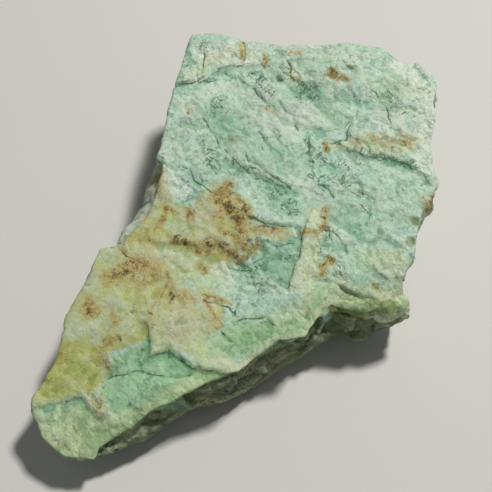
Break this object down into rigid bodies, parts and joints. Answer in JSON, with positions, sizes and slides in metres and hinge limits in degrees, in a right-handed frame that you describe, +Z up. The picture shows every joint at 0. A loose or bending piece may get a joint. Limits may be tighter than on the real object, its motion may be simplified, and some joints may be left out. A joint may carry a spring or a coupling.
{
  "type": "chrysoprase specimen",
  "caption": "Rough wedge-shaped lump of chrysoprase with a broad broken pale green top face, a cream crust with brown iron stains, and steep rough sides.",
  "frame": {"origin": "centre of the bounding box in plan, on the ground plane that the flat resting facet of the underside lies on", "axes": "+X along the long front wall, from the low thin tip to the high thick end; +Y away from the front wall; +Z up"},
  "size_m": [0.1158, 0.0818, 0.0309],
  "materials": {
    "chrysoprase": "satin"
  },
  "bodies": {
    "root": {"chrysoprase_slab": "chrysoprase"}
  },
  "joints": []
}
